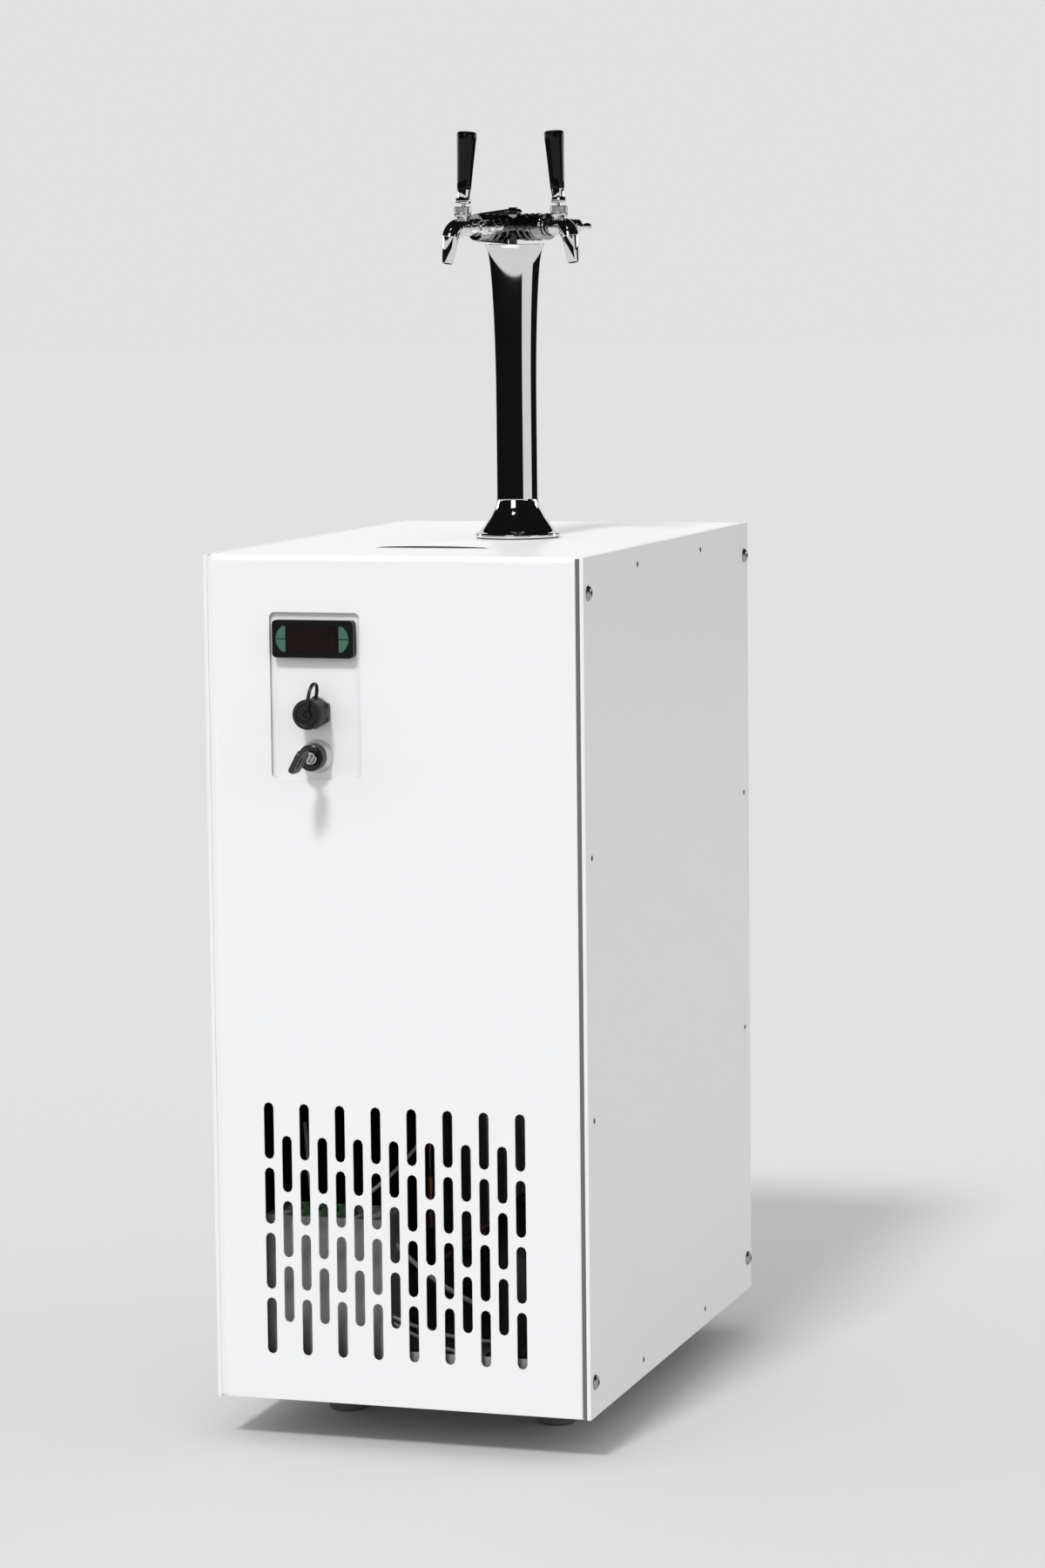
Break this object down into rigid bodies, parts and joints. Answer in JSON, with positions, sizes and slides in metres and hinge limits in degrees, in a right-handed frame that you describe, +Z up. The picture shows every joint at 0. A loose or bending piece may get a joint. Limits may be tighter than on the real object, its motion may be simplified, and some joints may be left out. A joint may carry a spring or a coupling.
{
  "type": "draft beer cooler",
  "caption": "Free-standing draft beer cooler: sheet-metal cabinet with a vented front, controls in a recess, and a column with two angled taps.",
  "frame": {"origin": "on the floor, at the middle of the cabinet's plan", "axes": "+Z up, front faces -Y, +X to the right as seen from the front"},
  "size_m": [0.3622, 0.6592, 1.1849],
  "materials": {
    "white_paint": "satin",
    "dark_paint": "matte",
    "zinc_sheet": "satin",
    "black_rubber": "matte",
    "black_plastic": "satin",
    "red_window": "gloss",
    "green_plastic": "satin",
    "white_plastic": "satin",
    "chrome": "polished",
    "steel": "polished",
    "gloss_black": "gloss",
    "foam": "matte",
    "black_enamel": "satin",
    "aluminium": "satin",
    "copper": "satin",
    "brass": "satin"
  },
  "bodies": {
    "cabinet": {"base_tray": "zinc_sheet", "left_side_panel": "white_paint", "right_side_panel": "white_paint", "front_cover": "white_paint", "control_pan": "white_paint", "top_panel": "white_paint", "rear_panel": "white_paint", "corner_posts": "dark_paint", "partition_shelf": "zinc_sheet", "side_bolts": "steel", "feet": "black_rubber", "controller_case": "black_plastic", "controller_window": "red_window", "port_body": "chrome", "port_nut": "chrome", "key_switch_body": "chrome", "tower_gasket": "black_rubber", "tower_column": "steel", "head_left": "chrome", "head_right": "chrome", "head_bolt": "chrome", "drip_basin": "white_plastic", "cold_block": "foam", "compressor": "black_enamel", "condenser": "aluminium", "fan_shroud": "black_plastic", "fan_motor": "black_enamel", "control_box": "zinc_sheet", "terminal_block": "green_plastic", "refrigerant_lines": "copper", "beer_inlets": "brass", "power_inlet": "black_plastic", "left_tap_shank": "chrome", "left_tap_body": "chrome", "left_tap_collar": "chrome", "left_flow_hub": "chrome", "right_tap_shank": "chrome", "right_tap_body": "chrome", "right_tap_collar": "chrome", "right_flow_hub": "chrome"},
    "left_handle": {"left_tap_lever": "steel", "left_tap_jam_nut": "chrome", "left_tap_ferrule": "chrome", "left_tap_handle": "gloss_black"},
    "right_handle": {"right_tap_lever": "steel", "right_tap_jam_nut": "chrome", "right_tap_ferrule": "chrome", "right_tap_handle": "gloss_black"},
    "left_flow": {"left_flow_lever": "chrome"},
    "right_flow": {"right_flow_lever": "chrome"},
    "key_core": {"key_switch_core": "chrome"},
    "key": {"switch_key": "black_plastic"},
    "dust_cap": {"port_cap": "black_rubber", "port_tether": "black_rubber"},
    "fan": {"fan_blades": "black_plastic"},
    "grille": {"drip_grille": "white_plastic"},
    "pad_left_upper": {"key_left_upper": "green_plastic"},
    "pad_left_lower": {"key_left_lower": "green_plastic"},
    "pad_right_upper": {"key_right_upper": "green_plastic"},
    "pad_right_lower": {"key_right_lower": "green_plastic"}
  },
  "joints": [
    {"name": "left_handle_tilt", "type": "hinge", "parent": "cabinet", "child": "left_handle", "pos_m": [-0.00317, -0.05563, 1.1084], "axis": [0.8829, -0.4695, 0], "range_deg": [0, 25]},
    {"name": "left_flow_turn", "type": "hinge", "parent": "cabinet", "child": "left_flow", "pos_m": [0.00063, -0.04848, 1.097], "axis": [0.8829, -0.4695, 0], "range_deg": [0, 90]},
    {"name": "right_handle_tilt", "type": "hinge", "parent": "cabinet", "child": "right_handle", "pos_m": [0.08305, -0.03413, 1.1084], "axis": [0.5592, 0.829, 0], "range_deg": [0, 25]},
    {"name": "right_flow_turn", "type": "hinge", "parent": "cabinet", "child": "right_flow", "pos_m": [0.07633, -0.0296, 1.097], "axis": [0.5592, 0.829, 0], "range_deg": [0, 90]},
    {"name": "key_turn", "type": "hinge", "parent": "cabinet", "child": "key_core", "pos_m": [-0.073, -0.2758, 0.6286], "axis": [0, 1, 0], "range_deg": [-28, 62]},
    {"name": "key_pull", "type": "slide", "parent": "key_core", "child": "key", "axis": [0, -1, 0], "range_m": [0, 0.024]},
    {"name": "dust_cap_pull", "type": "slide", "parent": "cabinet", "child": "dust_cap", "axis": [0, -1, 0], "range_m": [0, 0.015]},
    {"name": "fan_spin", "type": "hinge", "parent": "cabinet", "child": "fan", "pos_m": [0, 0.209, 0.1582], "axis": [0, 1, 0], "continuous": true},
    {"name": "grille_lift", "type": "slide", "parent": "cabinet", "child": "grille", "axis": [0, 0, 1], "range_m": [0, 0.03]},
    {"name": "pad_left_upper_press", "type": "slide", "parent": "cabinet", "child": "pad_left_upper", "axis": [0, 1, 0], "range_m": [0, 0.0008], "stiffness_N_per_m": 300, "springref_m": -0.0005},
    {"name": "pad_left_lower_press", "type": "slide", "parent": "cabinet", "child": "pad_left_lower", "axis": [0, 1, 0], "range_m": [0, 0.0008], "stiffness_N_per_m": 300, "springref_m": -0.0005},
    {"name": "pad_right_upper_press", "type": "slide", "parent": "cabinet", "child": "pad_right_upper", "axis": [0, 1, 0], "range_m": [0, 0.0008], "stiffness_N_per_m": 300, "springref_m": -0.0005},
    {"name": "pad_right_lower_press", "type": "slide", "parent": "cabinet", "child": "pad_right_lower", "axis": [0, 1, 0], "range_m": [0, 0.0008], "stiffness_N_per_m": 300, "springref_m": -0.0005}
  ]
}
